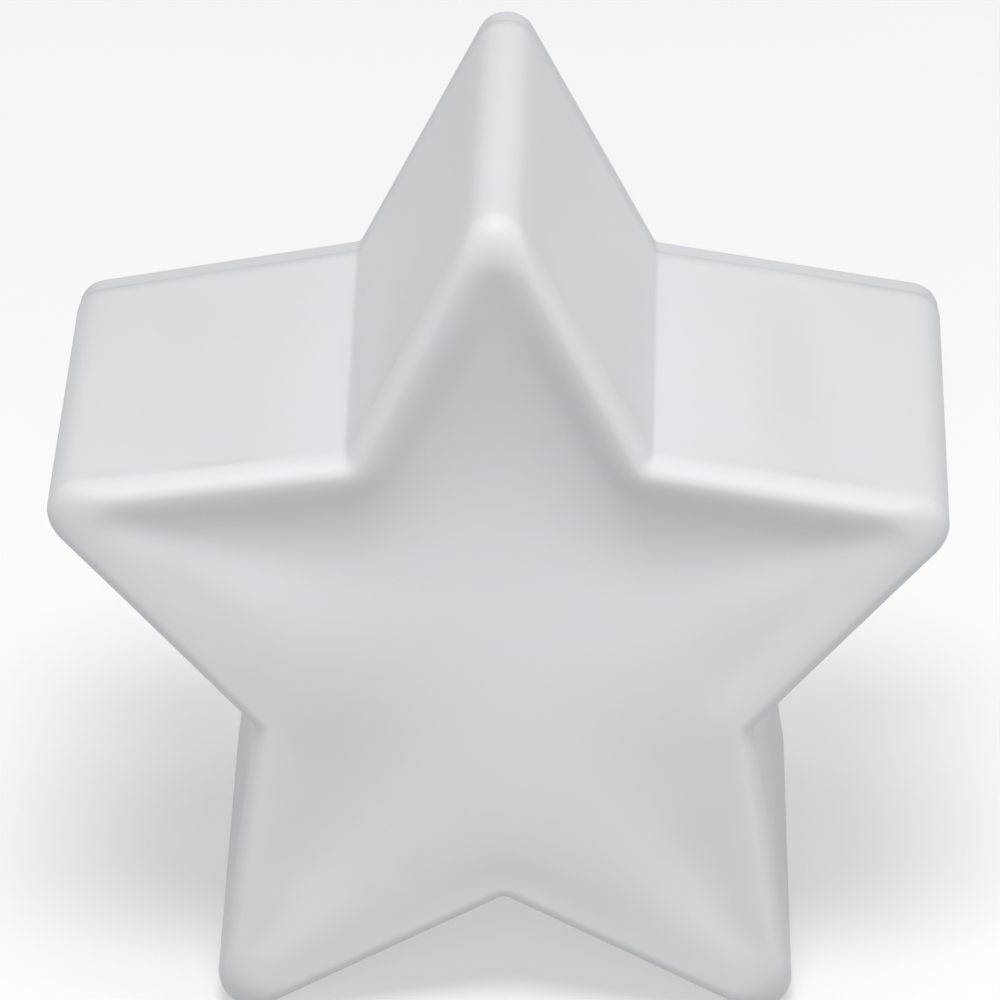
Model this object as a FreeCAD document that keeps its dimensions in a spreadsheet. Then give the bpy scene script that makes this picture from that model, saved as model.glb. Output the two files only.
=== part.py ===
import FreeCAD, Part
import math
import os
import re

import Sketcher
from FreeCAD import Placement, Rotation, Vector

# A five-pointed star lamp that stands on two of its points.
#
# A deep hollow front shell of white translucent plastic is closed at the back by a star-shaped cover. The
# cover carries everything else: a bay for three AAA cells behind a snap-in door, a circuit board with three
# light-emitting packages under an opal diffuser, a slide switch and a push button.
#
# Frame: millimetres, +X to the right, -Y to the front, +Z up. The origin is on the surface that the lamp
# stands on, under the middle of its depth.

# Driving dimensions, in millimetres unless a name says otherwise. Each one is a cell of the sheet "Dims".
DIMENSIONS = {
    # the star
    "star_radius": 85.0,  # centre to a sharp tip
    "notch_radius": 44.0,  # centre to a notch
    "centre_height": 64.4,  # centre above the surface that the lamp stands on
    "half_depth": 50.0,
    "tip_radius": 5.4,
    "notch_fillet": 1.2,
    "front_edge_radius": 5.0,
    "wall": 2.2,
    # the rear cover
    "rim_depth": 5.0,
    "rim_step": 0.3,  # how far the cover's rim stands in from the shell's wall
    "back_edge_radius": 1.0,
    "skin": 2.0,
    "lip_gap": 0.2,
    "lip_thickness": 1.5,
    "lip_length": 3.0,
    # the five cover screws and the pillars that they bite into
    "pillar_reach": 38.8,  # centre of the star to a pillar's axis
    "pillar_radius": 3.5,
    "pillar_length": 20.0,
    "pilot_radius": 1.27,
    "pilot_depth": 16.0,
    "boss_radius": 4.2,
    "screw_clearance_radius": 1.7,
    "counterbore_radius": 3.2,
    "counterbore_depth": 2.6,
    "screw_shank_radius": 1.25,
    "screw_length": 12.0,
    "screw_head_radius": 2.75,
    "screw_head_height": 1.9,
    # the battery bay, with heights counted from the star's centre
    "bay_length": 52.0,
    "bay_height": 33.6,
    "bay_middle": -15.0,
    "bay_depth": 11.7,
    "bay_wall": 3.0,
    "bay_floor": 1.6,
    "bay_foot": -35.0,
    "cradle_width": 2.0,
    "cradle_height": 3.4,
    "cradle_spread": 13.0,
    "cell_radius": 5.25,
    "cell_length": 44.5,
    "cell_pitch": 11.2,
    "cell_drop": 6.25,  # door's inner face to a cell's axis
    "cell_nub_radius": 1.9,
    "cell_nub_length": 1.2,
    # the battery door
    "door_length": 54.0,
    "door_top": 3.5,
    "door_foot": -33.5,
    "door_gap": 0.3,
    "door_corner": 1.6,
    "tongue_width": 12.0,
    "tongue_length": 9.0,
    "tongue_slot": 0.8,
    "grip_pitch": 2.0,
    "grip_radius": 0.4,
    "tab_spread": 15.0,
    "tab_width": 8.0,
    "tab_reach": 3.8,
    "tab_thickness": 1.2,
    "socket_radius": 4.4,
    "socket_wall": 2.0,
    "scoop_radius": 6.0,
    "scoop_depth": 1.2,
    "rib_height": 2.0,
    "rib_width": 1.2,
    "rib_clearance": 2.0,
    # the contacts and springs at the ends of the bay
    "contact_thickness": 0.4,
    "contact_width": 9.0,
    "contact_bump_radius": 1.6,
    "contact_bump_height": 0.6,
    "solder_tab_width": 3.0,
    "tab_slot_gap": 0.2,
    "solder_tab_reach": 32.0,
    "solder_tab_depth": 9.5,  # door's inner face to the tab
    "spring_wire_radius": 0.25,
    "spring_large_radius": 3.4,
    "spring_small_radius": 2.2,
    "spring_turns": 4.5,
    # the circuit board, with heights counted from the star's centre
    "board_length": 64.0,
    "board_height": 19.0,
    "board_middle": 17.5,
    "board_thickness": 1.6,
    "board_depth": 9.5,  # back plane to the board's back face
    "post_radius": 2.5,
    "post_spread": 27.0,
    "post_rise": 6.5,
    "board_screw_radius": 1.0,
    "board_screw_length": 5.0,
    "board_corner": 1.0,
    # the recessed control panel
    "panel_length": 46.0,
    "panel_height": 14.0,
    "panel_depth": 1.0,
    "panel_corner": 3.0,
    "dot_radius": 0.9,
    "dot_depth": 0.3,
    "control_spread": 14.0,
    # the slide switch
    "knob_length": 6.0,
    "knob_height": 4.4,
    "knob_travel": 4.0,
    "knob_gap": 0.3,
    "flange_thickness": 0.8,
    "flange_overlap": 1.5,
    "can_length": 11.0,
    "can_height": 5.0,
    "can_depth": 4.3,
    "stem_side": 2.0,
    # the push button
    "button_radius": 5.6,
    "button_gap": 0.2,
    "button_flange_radius": 6.9,
    "button_stem_radius": 1.6,
    "button_travel": 0.6,
    "tact_side": 6.0,
    "tact_depth": 3.6,
    "plunger_radius": 1.7,
    "button_edge": 1.2,
    # the light source
    "led_side": 5.0,
    "led_height": 1.6,
    "led_pitch": 8.0,
    "led_window_radius": 2.0,
    "led_window_depth": 0.6,
    "diffuser_length": 34.0,
    "diffuser_height": 16.0,
    "diffuser_rise": 9.0,
    "diffuser_wall": 1.0,
    "diffuser_edge": 3.0,
    "ear_length": 4.0,
    "ear_height": 6.0,
    "ear_pin_radius": 0.75,
    # the other components on the board
    "chip_reach": 24.6,
    "chip_width": 3.9,
    "chip_length": 4.9,
    "chip_depth": 1.6,
    "chip_pin_pitch": 1.27,
    "chip_pin_width": 0.4,
    "chip_pin_length": 1.0,
    "resistor_reach": 21.5,
    "resistor_length": 1.6,
    "resistor_width": 0.8,
    "resistor_depth": 0.5,
    "capacitor_radius": 2.5,
    "capacitor_height": 6.0,
    # the leads and their solder
    "lead_reach": 30.3,
    "wire_drop": 5.0,
    "solder_radius": 1.2,
    "solder_height": 0.8,
    "wire_radius": 0.6,
    "wire_bend": 3.6,
}
POINTS = 5
CELLS = 3
GRIP_GROOVES = 3

doc = FreeCAD.newDocument("StarLamp")


def make_sheet():
    sheet = doc.addObject("Spreadsheet::Sheet", "Dims")
    for row, (alias, value) in enumerate(DIMENSIONS.items(), 1):
        sheet.set(f"A{row}", alias)
        sheet.set(f"B{row}", str(value))
        sheet.setAlias(f"B{row}", alias)
    doc.recompute()
    return sheet


def bound(expression):
    """The expression with each dimension's name pointing at its cell."""
    return re.sub(r"[a-z_]+", lambda m: f"Dims.{m[0]}" if m[0] in DIMENSIONS else m[0], expression)


# Places that several pieces share, as expressions of the dimensions.
SEAM = "(half_depth-rim_depth)"
DOOR_INNER = "(half_depth-skin)"
SKIN_MIDDLE = "(half_depth-skin/2)"
PANEL_OUTER = "(half_depth-panel_depth)"
PANEL_INNER = "(half_depth-panel_depth-skin)"
BOARD_BACK = "(half_depth-board_depth)"
BOARD_FRONT = "(half_depth-board_depth-board_thickness)"
SIDE_LENGTH = "sqrt(star_radius^2+notch_radius^2-2*star_radius*notch_radius*cos(36deg))"
EDGE_DISTANCE = f"(star_radius*notch_radius*sin(36deg)/{SIDE_LENGTH})"
HOLLOW_INSET = "(wall+lip_gap+lip_thickness)"
BAY_TOP = "(centre_height+bay_middle+bay_height/2)"
BAY_BOTTOM = "(centre_height+bay_middle-bay_height/2)"
BAY_FLOOR = "(half_depth-skin-bay_depth)"
CELL_AXIS = "(half_depth-skin-cell_drop)"
HINGE_HEIGHT = "(centre_height+door_foot+skin)"
BOARD_HEIGHT = "(centre_height+board_middle)"
CONTACT_FACE = "(bay_length/2-contact_thickness)"
CELL_TIP = "(bay_length/2-contact_thickness-contact_bump_height)"
FLANGE_TOP = "(half_depth-panel_depth-skin-knob_gap/2)"
FLANGE_FOOT = "(half_depth-panel_depth-skin-knob_gap/2-flange_thickness)"
CAN_TOP = "(half_depth-board_depth+can_depth)"
TACT_TOP = "(half_depth-board_depth+tact_depth)"
KNOB_MIDDLE = "(-control_spread-knob_travel/2)"

ABOUT_Y = Rotation(Vector(1, 0, 0), -90)
ABOUT_X = Rotation(Vector(0, 1, 0), 90)
CYCLE_AXES = Rotation(Vector(1, 1, 1), 120)  # X to Y, Y to Z, Z to X


def size(name):
    """A driving dimension as a plain number, for picking edges."""
    return DIMENSIONS[name]


def bind(item, **properties):
    """Binds properties to expressions; an underscore pair in a name stands for a dot."""
    for name, expression in properties.items():
        item.setExpression(name.replace("__", "."), bound(expression))
    return item


def bind_place(item, x, y, z):
    return bind(item, Placement__Base__x=x, Placement__Base__y=y, Placement__Base__z=z)


def around(middle, length):
    """The span of a length about its middle."""
    return (f"({middle})-({length})/2", f"({middle})+({length})/2")


def box(name, x, y, z):
    """A block between two expressions along each axis."""
    item = doc.addObject("Part::Box", name)
    bind(item, Length=f"({x[1]})-({x[0]})", Width=f"({y[1]})-({y[0]})", Height=f"({z[1]})-({z[0]})")
    return bind_place(item, x[0], y[0], z[0])


def slab(name, x, y, z, radius, along="y"):
    """A block whose four edges along one axis are rounded."""
    body = doc.addObject("PartDesign::Body", name)
    block = body.newObject("PartDesign::AdditiveBox", f"{name}_block")
    bind(block, Length=f"({x[1]})-({x[0]})", Width=f"({y[1]})-({y[0]})", Height=f"({z[1]})-({z[0]})")
    bind_place(block, x[0], y[0], z[0])
    doc.recompute()
    edges = [f"Edge{i}" for i, edge in enumerate(block.Shape.Edges, 1) if runs_along(edge, along)]
    round_edges(body, block, f"{name}_corners", edges, radius)
    return body


def runs_along(edge, axis):
    ends = [vertex.Point for vertex in edge.Vertexes]
    run = ends[-1] - ends[0]
    return abs(getattr(run, axis)) > 0.9 * run.Length > 0


def round_edges(body, base, name, edges, radius):
    fillet = body.newObject("PartDesign::Fillet", name)
    fillet.Base = (base, edges)
    bind(fillet, Radius=radius)
    doc.recompute()
    return fillet


def cylinder(name, radius, axis, span, at):
    """A cylinder along x, y or z; "at" places its axis, in the order of the other two letters."""
    item = doc.addObject("Part::Cylinder", name)
    bind(item, Radius=radius, Height=f"({span[1]})-({span[0]})")
    item.Placement = Placement(Vector(), {"x": ABOUT_X, "y": ABOUT_Y, "z": Rotation()}[axis])
    place = list(at)
    place.insert("xyz".index(axis), span[0])
    return bind_place(item, *place)


def cone(name, radii, axis, span, at, backward=False):
    """A cone along x or y whose first radius is at the start of its span."""
    item = doc.addObject("Part::Cone", name)
    first, last = reversed(radii) if backward else radii
    bind(item, Radius1=first, Radius2=last, Height=f"({span[1]})-({span[0]})")
    item.Placement = Placement(Vector(), {"x": ABOUT_X, "y": ABOUT_Y}[axis])
    place = list(at)
    place.insert("xy".index(axis), span[0])
    return bind_place(item, *place)


def join(name, items):
    item = doc.addObject("Part::MultiFuse", name)
    item.Shapes = items
    item.Refine = True
    return item


def cut(name, base, tools):
    item = doc.addObject("Part::Cut", name)
    item.Base = base
    item.Tool = tools[0] if len(tools) == 1 else join(f"{name}_tools", tools)
    item.Refine = True
    return item


def overlap(name, first, second):
    item = doc.addObject("Part::Common", name)
    item.Base = first
    item.Tool = second
    return item


def collect(name, items):
    """Several like pieces as one sub-part."""
    item = doc.addObject("Part::Compound", name)
    item.Links = items
    return item


def notch_place(index):
    """Where a screw pillar stands, just inside a notch."""
    turn = f"{36 + 72 * index}deg"
    return (f"pillar_reach*sin({turn})", f"centre_height+pillar_reach*cos({turn})")


# The star's outline and the solids made from it


def origin_plane(body, role):
    return next(feature for feature in body.Origin.OriginFeatures if feature.Role == role)


def star_sketch(body, name, inset, depth):
    """A sharp star of ten lines at a depth, every side moved inward by the inset."""
    sketch = body.newObject("Sketcher::SketchObject", name)
    sketch.AttachmentSupport = [(origin_plane(body, "XZ_Plane"), "")]
    sketch.MapMode = "FlatFace"
    bind(sketch, AttachmentOffset__Base__z=f"-({depth})")
    corners = 2 * POINTS
    radii = ["star_radius", "notch_radius"] * POINTS
    turns = [math.pi * index / POINTS for index in range(corners)]
    places = [
        Vector(size(radius) * math.sin(turn), size("centre_height") + size(radius) * math.cos(turn), 0)
        for radius, turn in zip(radii, turns)
    ]
    for index in range(corners):
        sketch.addGeometry(Part.LineSegment(places[index], places[(index + 1) % corners]), False)
    for index in range(corners):
        sketch.addConstraint(Sketcher.Constraint("Coincident", index, 2, (index + 1) % corners, 1))
    shrink = f"(1-({inset})/{EDGE_DISTANCE})"
    for index, (radius, place) in enumerate(zip(radii, places)):
        turn = f"{36 * index}deg"
        across = sketch.addConstraint(Sketcher.Constraint("DistanceX", -1, 1, index, 1, place.x))
        sketch.setExpression(f"Constraints[{across}]", bound(f"{radius}*{shrink}*sin({turn})"))
        up = sketch.addConstraint(Sketcher.Constraint("DistanceY", -1, 1, index, 1, place.y))
        sketch.setExpression(f"Constraints[{up}]", bound(f"centre_height+{radius}*{shrink}*cos({turn})"))
    return sketch


def ridge_edges(shape, tips):
    """The edges that run from front to back, at the tips or at the notches."""
    middle = (size("star_radius") + size("notch_radius")) / 2
    found = []
    for index, edge in enumerate(shape.Edges, 1):
        if isinstance(edge.Curve, Part.Line) and runs_along(edge, "y"):
            place = edge.CenterOfMass
            reach = math.hypot(place.x, place.z - size("centre_height"))
            if (reach > middle) == tips:
                found.append(f"Edge{index}")
    return found


def loop_edges(shape, depth):
    """The edges that lie flat at a depth."""
    found = []
    for index, edge in enumerate(shape.Edges, 1):
        bounds = edge.BoundBox
        if max(abs(bounds.YMin - depth), abs(bounds.YMax - depth)) < 0.001:
            found.append(f"Edge{index}")
    return found


def round_ridges(body, base, inset):
    tips = ridge_edges(base.Shape, tips=True)
    rounded = round_edges(body, base, f"{body.Name}_tips", tips, f"tip_radius-({inset})")
    notches = ridge_edges(rounded.Shape, tips=False)
    return round_edges(body, rounded, f"{body.Name}_notches", notches, f"notch_fillet+({inset})")


def star_solid(name, inset, front, back, edge_radius=None, edge_depth=None):
    """A star-shaped block with rounded ridges and, if asked for, one rounded end."""
    body = doc.addObject("PartDesign::Body", name)
    sketch = star_sketch(body, f"{name}_outline", inset, back)
    pad = body.newObject("PartDesign::Pad", f"{name}_pad")
    pad.Profile = sketch
    bind(pad, Length=f"({back})-({front})")
    doc.recompute()
    rounded = round_ridges(body, pad, inset)
    if edge_radius:
        edges = loop_edges(rounded.Shape, edge_depth)
        round_edges(body, rounded, f"{name}_end_edge", edges, edge_radius)
    return body


def below_ground(name):
    """Everything under the surface that the lamp stands on, to cut the feet flat."""
    reach = "star_radius+half_depth"
    return box(name, (f"-({reach})", reach), (f"-({reach})", reach), ("-half_depth", "0"))


# The two halves of the housing


def make_shell():
    """The front shell: a hollow star with a pillar for a cover screw inside each notch."""
    outer = star_solid("shell_outer", "0", "-half_depth", SEAM, "front_edge_radius", -size("half_depth"))
    hollow_front = -size("half_depth") + size("wall")
    hollow = star_solid(
        "shell_hollow", "wall", "-half_depth+wall", SEAM, "front_edge_radius-wall", hollow_front
    )
    walls = cut("shell_walls", outer, [hollow, below_ground("shell_ground")])
    pillars = []
    pilots = []
    for index in range(POINTS):
        place = notch_place(index)
        pillar_span = (f"{SEAM}-pillar_length", SEAM)
        pillars.append(cylinder(f"pillar_{index}", "pillar_radius", "y", pillar_span, place))
        pilot_span = (f"{SEAM}-pilot_depth", f"{SEAM}+1")
        pilots.append(cylinder(f"pilot_{index}", "pilot_radius", "y", pilot_span, place))
    return cut("star_shell", join("shell_with_pillars", [walls, *pillars]), pilots)


def make_cover():
    """The rear cover, with everything moulded on it and every opening through it."""
    back = size("half_depth")
    slab_outer = star_solid("cover_outer", "rim_step", SEAM, "half_depth", "back_edge_radius", back)
    lip = star_solid("cover_lip", "wall+lip_gap", f"{SEAM}-lip_length", f"{SEAM}+lip_gap")
    hollow = star_solid("cover_hollow", HOLLOW_INSET, f"{SEAM}-2*lip_length", DOOR_INNER)
    rim = cut("cover_rim", join("cover_slab", [slab_outer, lip]), [hollow, *pillar_clearances()])
    solids = [rim, *screw_bosses(), *bay_walls(), *board_posts(), panel_backing()]
    openings = [
        below_ground("cover_ground"),
        *screw_holes(),
        *door_openings(),
        *contact_slots(),
        *panel_openings(),
        *post_pilots(),
    ]
    bare = cut("cover_cut", join("cover_solids", solids), openings)
    return join("rear_cover", [bare, *cradles()])


def pillar_clearances():
    span = (f"{SEAM}-2*lip_length", SEAM)
    return [
        cylinder(f"pillar_clearance_{index}", "pillar_radius+lip_gap", "y", span, notch_place(index))
        for index in range(POINTS)
    ]


def screw_bosses():
    span = (SEAM, SKIN_MIDDLE)
    places = [notch_place(index) for index in range(POINTS)]
    return [
        cylinder(f"screw_boss_{index}", "boss_radius", "y", span, place) for index, place in enumerate(places)
    ]


def screw_holes():
    holes = []
    for index in range(POINTS):
        place = notch_place(index)
        through = (f"{SEAM}-1", "half_depth+1")
        holes.append(cylinder(f"screw_hole_{index}", "screw_clearance_radius", "y", through, place))
        head = ("half_depth-counterbore_depth", "half_depth+1")
        holes.append(cylinder(f"counterbore_{index}", "counterbore_radius", "y", head, place))
    return holes


def bay_walls():
    """The open box that holds the cells, and the thicker blocks round the door's tab sockets."""
    outer_x = around("0", "bay_length+2*bay_wall")
    outer_y = (f"{BAY_FLOOR}-bay_floor", SKIN_MIDDLE)
    outer = box("bay_outer", outer_x, outer_y, ("centre_height+bay_foot", f"{BAY_TOP}+bay_wall"))
    inner_y = (BAY_FLOOR, "half_depth+1")
    inner = box("bay_inner", around("0", "bay_length"), inner_y, (BAY_BOTTOM, BAY_TOP))
    blocks = []
    for side, name in ((-1, "left"), (1, "right")):
        across = around(f"{side}*tab_spread", "tab_width+2*door_gap+2*socket_wall")
        deep = (f"{DOOR_INNER}-socket_radius-socket_wall", SKIN_MIDDLE)
        high = (f"{HINGE_HEIGHT}-socket_radius-socket_wall", BAY_BOTTOM)
        blocks.append(box(f"socket_block_{name}", across, deep, high))
    return [cut("bay_box", outer, [inner]), *blocks]


def cradles():
    """Two ribs across the bay's floor, hollowed to hold the cells."""
    ribs = []
    for side, name in ((-1, "left"), (1, "right")):
        across = around(f"{side}*cradle_spread", "cradle_width")
        deep = (BAY_FLOOR, f"{BAY_FLOOR}+cradle_height")
        rib = box(f"cradle_block_{name}", across, deep, (BAY_BOTTOM, BAY_TOP))
        hollows = []
        for index in range(CELLS):
            axis = (CELL_AXIS, cell_height(index))
            hollow_name = f"cradle_hollow_{name}_{index}"
            hollows.append(cylinder(hollow_name, "cell_radius+0.1", "x", around("0", "bay_length"), axis))
        ribs.append(cut(f"cradle_{name}", rib, hollows))
    return ribs


def cell_height(index):
    return f"centre_height+bay_middle+{1 - index}*cell_pitch"


def door_openings():
    """The door's recess, the round seat for its foot, its tab sockets and the finger scoop."""
    wide = around("0", "door_length+2*door_gap")
    high = ("centre_height+door_foot-door_gap", "centre_height+door_top+door_gap")
    recess = slab("door_recess", wide, (DOOR_INNER, "half_depth+1"), high, "door_corner")
    foot_axis = (DOOR_INNER, HINGE_HEIGHT)
    seat = cylinder("door_foot_seat", "skin+door_gap", "x", wide, foot_axis)
    foot_corner = box("door_foot_corner", wide, (DOOR_INNER, "half_depth+1"), (high[0], HINGE_HEIGHT))
    tools = [recess, foot_corner, seat]
    for side, name in ((-1, "left"), (1, "right")):
        across = around(f"{side}*tab_spread", "tab_width+2*door_gap")
        swing = cylinder(f"tab_swing_{name}", "socket_radius", "x", across, foot_axis)
        tools.append(inside_of_skin(f"tab_socket_{name}", swing, across))
    tools.append(finger_scoop())
    return tools


def inside_of_skin(name, item, across):
    """The part of an item that lies in front of the cover's skin and below the battery bay."""
    deep = (f"{DOOR_INNER}-2*socket_radius", DOOR_INNER)
    high = (f"{HINGE_HEIGHT}-2*socket_radius", BAY_BOTTOM)
    return overlap(name, item, box(f"{name}_limit", across, deep, high))


def finger_scoop():
    """A shallow dish above the door's tongue, for a fingertip."""
    scoop = doc.addObject("Part::Sphere", "finger_scoop")
    bind(scoop, Radius="(scoop_radius^2+scoop_depth^2)/(2*scoop_depth)")
    lift = "(scoop_radius^2-scoop_depth^2)/(2*scoop_depth)"
    return bind_place(scoop, "0", f"half_depth+{lift}", "centre_height+door_top")


def contact_slots():
    """Where the two end contacts' tabs leave the bay."""
    slots = []
    for side, index, name in ((-1, 0, "left"), (1, CELLS - 1, "right")):
        span = [f"{side}*bay_length/2", f"{side}*(bay_length/2+2*bay_wall)"]
        across = span if side > 0 else span[::-1]
        deep = around("half_depth-skin-solder_tab_depth", "2*contact_thickness")
        high = around(cell_height(index), "solder_tab_width+2*tab_slot_gap")
        slots.append(box(f"tab_slot_{name}", across, deep, high))
    return slots


def board_posts():
    return [
        cylinder(f"board_post_{index}", "post_radius", "y", (BOARD_BACK, SKIN_MIDDLE), place)
        for index, place in enumerate(board_corners())
    ]


def post_pilots():
    span = (f"{BOARD_BACK}-1", f"{BOARD_BACK}+board_screw_length")
    return [
        cylinder(f"post_pilot_{index}", "board_screw_radius", "y", span, place)
        for index, place in enumerate(board_corners())
    ]


def board_corners():
    return [
        (f"{across}*post_spread", f"{BOARD_HEIGHT}+{up}*post_rise") for across in (-1, 1) for up in (-1, 1)
    ]


def panel_backing():
    """Keeps the skin's thickness behind the sunken control panel."""
    deep = (PANEL_INNER, SKIN_MIDDLE)
    wide = around("0", "panel_length+2*skin")
    return box("panel_backing", wide, deep, around(BOARD_HEIGHT, "panel_height+2*skin"))


def panel_openings():
    """The sunken panel, its knob slot and button hole, and the dots beside the slot."""
    panel = slab(
        "panel_recess",
        around("0", "panel_length"),
        (PANEL_OUTER, "half_depth+1"),
        around(BOARD_HEIGHT, "panel_height"),
        "panel_corner",
    )
    through = (f"{PANEL_INNER}-1", "half_depth")
    slot_length = "knob_length+knob_travel+2*knob_gap"
    slot_high = around(BOARD_HEIGHT, "knob_height+2*knob_gap")
    slot = slab("knob_slot", around("-control_spread", slot_length), through, slot_high, "knob_gap*2")
    hole = cylinder(
        "button_hole", "button_radius+button_gap", "y", through, ("control_spread", BOARD_HEIGHT)
    )
    dot_span = (f"{PANEL_OUTER}-dot_depth", "half_depth")
    dot_reach = f"({slot_length})/2+2*dot_radius"
    off_place = (f"-control_spread-({dot_reach})", BOARD_HEIGHT)
    off_dot = cylinder("off_dot", "dot_radius/2", "y", dot_span, off_place)
    on_dot = cylinder("on_dot", "dot_radius", "y", dot_span, (f"-control_spread+({dot_reach})", BOARD_HEIGHT))
    return [panel, slot, hole, off_dot, on_dot]


# Screws


def screw(name, shank_radius, length, head_radius, head_height, seat, place, toward_front=True):
    """A pan-head screw whose head rests on its seat, with a crossed recess."""
    if toward_front:
        shank_span = (f"{seat}-{length}", seat)
        head_span = (seat, f"{seat}+{head_height}")
        recess_span = (f"{seat}+{head_height}/3", f"{seat}+2*{head_height}")
    else:
        shank_span = (seat, f"{seat}+{length}")
        head_span = (f"{seat}-{head_height}", seat)
        recess_span = (f"{seat}-2*{head_height}", f"{seat}-{head_height}/3")
    shank = cylinder(f"{name}_shank", shank_radius, "y", shank_span, place)
    head = cone(f"{name}_head", (head_radius, f"{head_radius}*0.8"), "y", head_span, place, not toward_front)
    arm = f"{head_radius}*1.1"
    slot = f"{head_radius}*0.25"
    flat = box(f"{name}_slot", around(place[0], arm), recess_span, around(place[1], slot))
    upright = box(f"{name}_cross", around(place[0], slot), recess_span, around(place[1], arm))
    return cut(f"{name}_whole", join(f"{name}_blank", [shank, head]), [flat, upright])


def make_cover_screws():
    seat = "(half_depth-counterbore_depth)"
    return collect(
        "cover_screws",
        [
            screw(
                f"cover_screw_{index}",
                "screw_shank_radius",
                "screw_length",
                "screw_head_radius",
                "screw_head_height",
                seat,
                notch_place(index),
            )
            for index in range(POINTS)
        ],
    )


def make_board_screws():
    return collect(
        "board_screws",
        [
            screw(
                f"board_screw_{index}",
                "board_screw_radius",
                "board_screw_length",
                "board_screw_radius*1.8",
                "board_screw_radius",
                BOARD_FRONT,
                place,
                toward_front=False,
            )
            for index, place in enumerate(board_corners())
        ],
    )


# The battery door


def make_door():
    """The door: a plate with a round foot, two hooked tabs, ribs and a springy tongue."""
    wide = around("0", "door_length")
    plate = slab(
        "door_plate",
        wide,
        (DOOR_INNER, "half_depth"),
        (HINGE_HEIGHT, "centre_height+door_top"),
        "door_corner",
    )
    foot_round = cylinder("door_foot_round", "skin", "x", wide, (DOOR_INNER, HINGE_HEIGHT))
    foot_limit = box(
        "door_foot_limit", wide, (DOOR_INNER, "half_depth"), ("centre_height+door_foot", HINGE_HEIGHT)
    )
    upper_foot = box(
        "door_upper_foot", wide, (DOOR_INNER, "half_depth"), (HINGE_HEIGHT, f"{HINGE_HEIGHT}+door_corner")
    )
    foot = overlap("door_foot_whole", foot_round, foot_limit)
    nose = box(
        "tongue_nose",
        around("0", "tongue_width-2"),
        around(SKIN_MIDDLE, "skin/2"),
        ("centre_height+door_top-1", "centre_height+door_top+door_gap-0.1"),
    )
    solids = [plate, upper_foot, foot, nose, *door_tabs(), *door_ribs()]
    slots = []
    for side, name in ((-1, "left"), (1, "right")):
        across = around(f"{side}*(tongue_width+tongue_slot)/2", "tongue_slot")
        high = ("centre_height+door_top-tongue_length", "centre_height+door_top+1")
        slots.append(box(f"tongue_slot_{name}", across, (f"{DOOR_INNER}-1", "half_depth+1"), high))
    groove_span = around("0", "tongue_width-2*grip_pitch")
    for index in range(GRIP_GROOVES):
        groove_place = ("half_depth+grip_radius/4", f"centre_height+door_top-{index + 1}*grip_pitch")
        slots.append(cylinder(f"tongue_groove_{index}", "grip_radius", "x", groove_span, groove_place))
    return cut("battery_door", join("door_solids", solids), slots)


def door_tabs():
    """Hooks that tuck behind the cover's skin and let the door swing."""
    tabs = []
    inner = f"{DOOR_INNER}-door_gap-tab_thickness"
    for side, name in ((-1, "left"), (1, "right")):
        across = around(f"{side}*tab_spread", "tab_width")
        neck_high = (f"{HINGE_HEIGHT}-skin*0.8", f"{HINGE_HEIGHT}+tab_thickness")
        tabs.append(box(f"tab_neck_{name}", across, (inner, DOOR_INNER), neck_high))
        hook_high = (f"{HINGE_HEIGHT}-tab_reach", f"{HINGE_HEIGHT}+tab_thickness")
        tabs.append(box(f"tab_hook_{name}", across, (inner, f"{DOOR_INNER}-door_gap"), hook_high))
    return tabs


def door_ribs():
    """Two stiffening ribs that reach down between the cells."""
    ribs = []
    for index in range(CELLS - 1):
        height = f"{cell_height(index)}-cell_pitch/2"
        wide = around("0", "bay_length-2*rib_clearance")
        deep = (f"{DOOR_INNER}-rib_height", SKIN_MIDDLE)
        ribs.append(box(f"door_rib_{index}", wide, deep, around(height, "rib_width")))
    return ribs


# Cells, contacts and springs


def make_cell(index):
    """One AAA cell; the middle one lies the other way round from its neighbours."""
    positive = 1 if index == 1 else -1
    at = (CELL_AXIS, cell_height(index))
    shoulder = f"({CELL_TIP}-cell_nub_length)"
    foot = f"({CELL_TIP}-cell_length)"
    if positive > 0:
        body_span = (foot, shoulder)
        nub_span = (shoulder, CELL_TIP)
    else:
        body_span = (f"-{shoulder}", f"-{foot}")
        nub_span = (f"-{CELL_TIP}", f"-{shoulder}")
    can = cylinder(f"cell_can_{index}", "cell_radius", "x", body_span, at)
    nub = cylinder(f"cell_nub_{index}", "cell_nub_radius", "x", nub_span, at)
    return join(f"battery_cell_{index + 1}", [can, nub])


def contact_plate(name, side, top, bottom):
    """A plate against an end wall of the bay, reaching over the cells from top to bottom."""
    span = [f"{side}*{CONTACT_FACE}", f"{side}*bay_length/2"]
    across = span if side > 0 else span[::-1]
    high = (f"{cell_height(bottom)}-contact_width/2", f"{cell_height(top)}+contact_width/2")
    return box(name, across, around(CELL_AXIS, "contact_width"), high)


def contact_bump(name, side, index):
    """The raised button that meets a cell's nub."""
    at = (CELL_AXIS, cell_height(index))
    span = [f"{side}*{CELL_TIP}", f"{side}*{CONTACT_FACE}"]
    across = span if side > 0 else span[::-1]
    radii = ("contact_bump_radius*0.6", "contact_bump_radius")
    return cone(name, radii, "x", across, at, backward=side < 0)


def solder_tab(name, side, index):
    """The tab that passes through the bay's wall to the lead."""
    span = [f"{side}*{CONTACT_FACE}", f"{side}*solder_tab_reach"]
    across = span if side > 0 else span[::-1]
    deep = around("half_depth-skin-solder_tab_depth", "contact_thickness")
    return box(name, across, deep, around(cell_height(index), "solder_tab_width"))


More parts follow.
